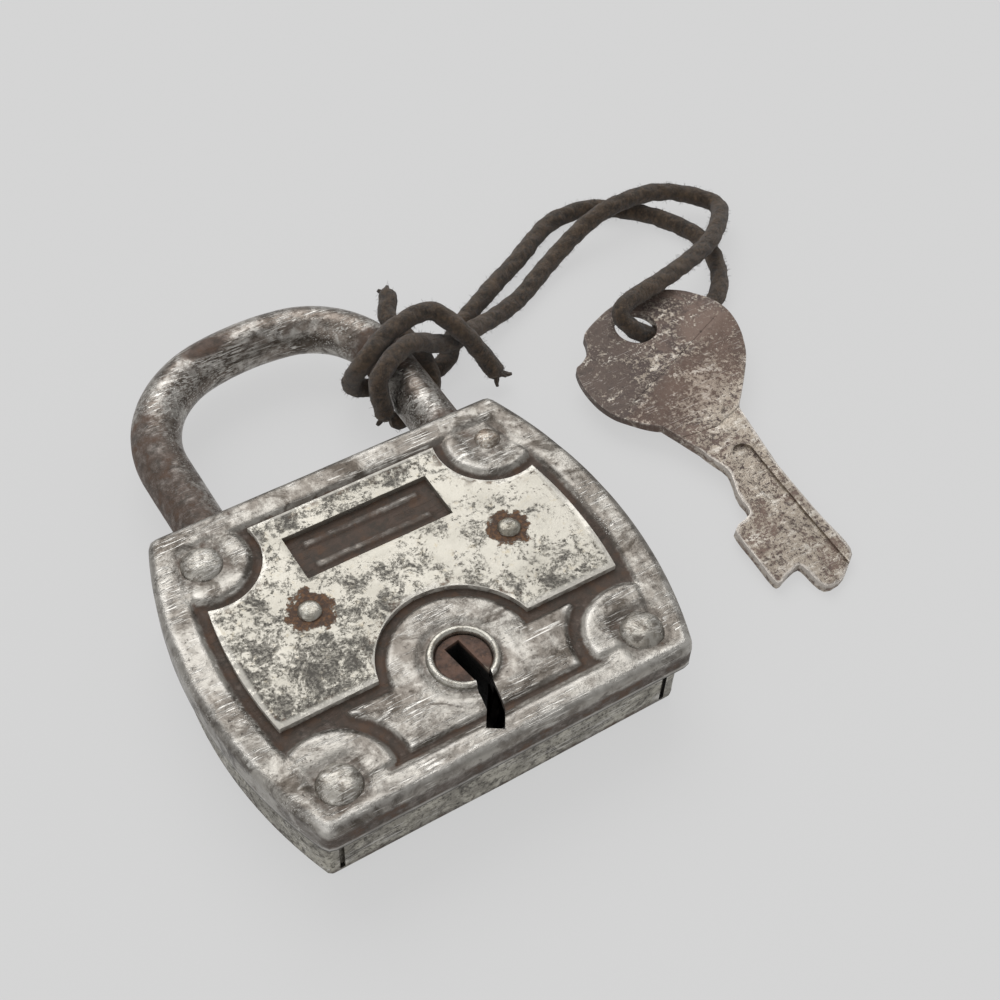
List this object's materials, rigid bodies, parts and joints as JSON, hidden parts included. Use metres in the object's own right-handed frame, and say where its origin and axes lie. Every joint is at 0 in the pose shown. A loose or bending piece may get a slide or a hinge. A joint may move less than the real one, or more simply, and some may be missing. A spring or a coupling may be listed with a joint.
{
  "type": "padlock",
  "caption": "Worn pressed-steel padlock lying on its back, with its flat key tied to the round shackle by a cord.",
  "frame": {"origin": "centre of the case's flat back face, on which the padlock lies", "axes": "+Z out of the front face, +Y from the keyhole towards the shackle's arch, +X to the right as seen from the front"},
  "size_m": [0.1256, 0.0932, 0.0153],
  "materials": {
    "case_steel": "worn grey-green steel with speckled dirt",
    "cover_steel": "worn, scratched steel with brown patina in the grooves",
    "plate": "pale nickel plate with grey speckles and rust halos",
    "rusty_steel": "brown rust",
    "inner_steel": "dull steel with light rust",
    "shackle_steel": "worn steel with brown patches",
    "rivet_steel": "worn steel domes",
    "key_steel": "brown patina with silver speckles and bright edges",
    "cord": "dark brown twisted cord, fuzzy and frayed"
  },
  "bodies": {
    "case": {"back_tray": "case_steel", "front_cover": "cover_steel", "name_plate": "plate", "plate_rivet_left": "plate", "plate_rivet_right": "plate", "keyhole_ring": "cover_steel", "plug_bearing": "inner_steel", "ward_ring": "inner_steel", "bolt_pin_left": "inner_steel", "bolt_pin_right": "inner_steel", "bolt_spring": "inner_steel", "heel_collar_back": "inner_steel", "heel_collar_front": "inner_steel", "pivot_rivet": "rivet_steel", "toe_rivet": "rivet_steel", "rivet_bottom_left": "rivet_steel", "rivet_bottom_right": "rivet_steel", "spacer_bottom_left": "inner_steel", "spacer_bottom_right": "inner_steel"},
    "shackle": {"shackle": "shackle_steel", "shackle_toe_web": "shackle_steel", "shackle_toe_tip": "shackle_steel", "key": "key_steel", "key_cord": "cord", "cord_tie": "cord"},
    "bolt": {"bolt": "inner_steel"},
    "plug": {"key_plug": "rusty_steel"}
  },
  "joints": [
    {"name": "shackle_swing", "type": "hinge", "parent": "case", "child": "shackle", "pos_m": [-0.0226, 0.0186, 0.0073], "axis": [0, 0, 1], "range_deg": [0, 30]},
    {"name": "bolt_slide", "type": "slide", "parent": "case", "child": "bolt", "axis": [1, 0, 0], "range_m": [0, 0.002]},
    {"name": "plug_turn", "type": "hinge", "parent": "case", "child": "plug", "pos_m": [0, -0.01225, 0.0073], "axis": [0, 0, 1], "continuous": true}
  ]
}
